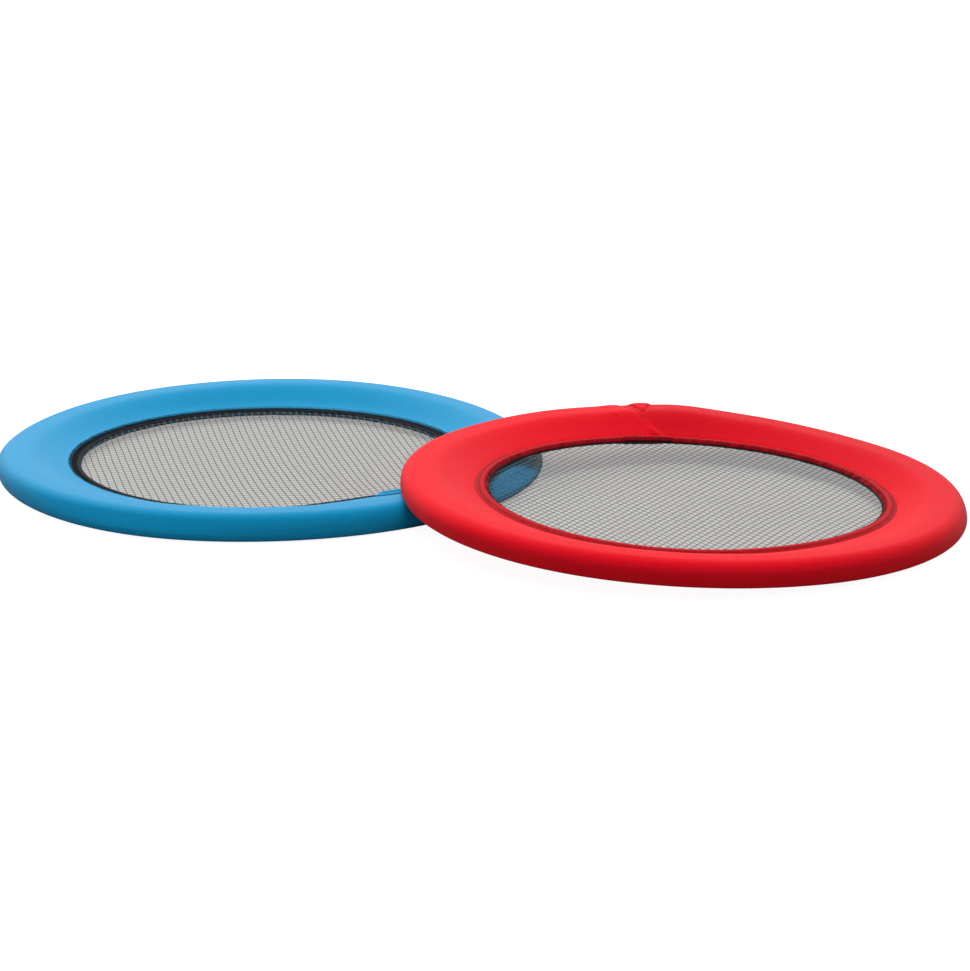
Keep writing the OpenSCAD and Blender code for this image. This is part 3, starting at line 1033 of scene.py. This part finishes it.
studio = {
    "floorHalf": 6.0,
    "floorDrop": 0.0003,
    "floorAlbedo": 0.38,
    "floorGlow": 0.93,
    # painted shade under the nets: a greyer floor patch round each disc, shifted towards its far side, with
    # a weaker glow as painted fill light
    "paintedShadeUnderNet": (0.26, 0.25, 0.235, 1),
    "underNetGlow": 0.36,
    "underNetShift": {"blue": 0.012, "red": 0.044},
    "underNetReach": 0.12,
    "underNetBlur": 0.006,
    "farWay": (-0.4004, 0.9164, 0),  # towards the far side of the discs
    "worldStrength": 0.33,
    "backdrop": 0.9,
    "backdropWay": (-0.376, 0.861, 0.342),
    "backdropSpread": (0.5, 0.97),
    "softboxes": {
        "top": {"power": 30.0, "size": 1.3, "azimuth": -67.0, "elevation": 86.0, "distance": 2.4},
        "back": {"power": 28.0, "size": 1.3, "azimuth": 142.0, "elevation": 32.0, "distance": 2.4},
    },
}


def seenDirectly(tree):
    path = addNode(tree, "ShaderNodeLightPath").outputs
    return calc(tree, "MAXIMUM", path["Is Camera Ray"], path["Is Transmission Ray"])


def smoothRange(tree, value, start, stop):
    given = {"Value": value, "From Min": start, "From Max": stop}
    return addNode(tree, "ShaderNodeMapRange", given, interpolation_type="SMOOTHSTEP").outputs[0]


def makeFloor():
    half, low = studio["floorHalf"], -studio["floorDrop"]
    mesh = bpy.data.meshes.new("floor")
    corners = [(-half, -half, low), (half, -half, low), (half, half, low), (-half, half, low)]
    mesh.from_pydata(corners, [], [(0, 1, 2, 3)])
    material = bpy.data.materials.new("floorPaper")
    material.use_nodes = True
    tree = material.node_tree
    tree.nodes.clear()
    # painted shade and painted fill light: the ground seen through the nets is painted greyer than the
    # paper round the discs where their shade falls, and glows a little to lighten their real shadow there
    place = objectPlace(tree)
    reach, blur = studio["underNetReach"], studio["underNetBlur"]
    masks = []
    for colour in colours:
        centre = placeOf[colour].translation + Vector(studio["farWay"]) * studio["underNetShift"][colour]
        far = vectorCalc(tree, "DISTANCE", place, (centre.x, centre.y, 0), output=1)
        masks.append(smoothRange(tree, far, reach + blur, reach - blur))
    inside = calc(tree, "MAXIMUM", *masks)
    albedo = studio["floorAlbedo"]
    tone = addNode(tree, "ShaderNodeMix", {
        0: inside, 6: (albedo, albedo, albedo, 1), 7: studio["paintedShadeUnderNet"]}, data_type="RGBA").outputs[2]
    paper = addNode(tree, "ShaderNodeBsdfDiffuse", {"Color": tone})
    change = studio["underNetGlow"] - studio["floorGlow"]
    glow = calc(tree, "MULTIPLY_ADD", inside, change, studio["floorGlow"])
    strength = calc(tree, "MULTIPLY", seenDirectly(tree), glow)
    light = addNode(tree, "ShaderNodeEmission", {"Strength": strength})
    both = addNode(tree, "ShaderNodeAddShader", {0: paper.outputs[0], 1: light.outputs[0]})
    addNode(tree, "ShaderNodeOutputMaterial", {"Surface": both.outputs[0]})
    floor = newPiece("floor", mesh, material, smooth=False)


def makeWorld():
    # white where it is seen, and lighting the discs from a bright backdrop behind them
    world = bpy.data.worlds.new("studio")
    world.use_nodes = True
    tree = world.node_tree
    toBack = vectorCalc(tree, "DOT_PRODUCT", objectPlace(tree), studio["backdropWay"], output=1)
    lit = smoothRange(tree, toBack, *studio["backdropSpread"])
    given = calc(tree, "MULTIPLY_ADD", lit, studio["backdrop"], studio["worldStrength"])
    toWhite = calc(tree, "MULTIPLY", seenDirectly(tree), calc(tree, "SUBTRACT", 1.0, given))
    back = tree.nodes["Background"]
    back.inputs[0].default_value = (1, 1, 1, 1)
    tree.links.new(calc(tree, "ADD", given, toWhite), back.inputs[1])
    bpy.context.scene.world = world


def aim(thing, place, target):
    thing.location = place
    thing.rotation_euler = (Vector(target) - Vector(place)).to_track_quat("-Z", "Y").to_euler()


def makeSoftbox(name):
    given = studio["softboxes"][name]
    lamp = bpy.data.lights.new(name + "Softbox", "AREA")
    lamp.shape = "SQUARE"
    lamp.size = given["size"]
    lamp.energy = given["power"]
    softbox = addObject(name + "Softbox", lamp)
    a, e = math.radians(given["azimuth"]), math.radians(given["elevation"])
    way = Vector((math.cos(a) * math.cos(e), math.sin(a) * math.cos(e), math.sin(e)))
    aim(softbox, way * given["distance"], (0, 0, 0))
    softbox.visible_glossy = False


view = {
    "place": (0.7048, -1.5911, 0.4950),
    "target": (0.0040, 0.0129, 0.0),
    "lens": 122.47,
    "sensor": 36,
}


def makeCamera():
    lens = bpy.data.cameras.new("camera")
    lens.lens = view["lens"]
    lens.sensor_width = view["sensor"]
    camera = addObject("camera", lens)
    aim(camera, view["place"], view["target"])
    bpy.context.scene.camera = camera


makeFloor()
makeWorld()
for name in studio["softboxes"]:
    makeSoftbox(name)
makeCamera()
bpy.context.scene.view_settings.view_transform = "Standard"
print("studio")
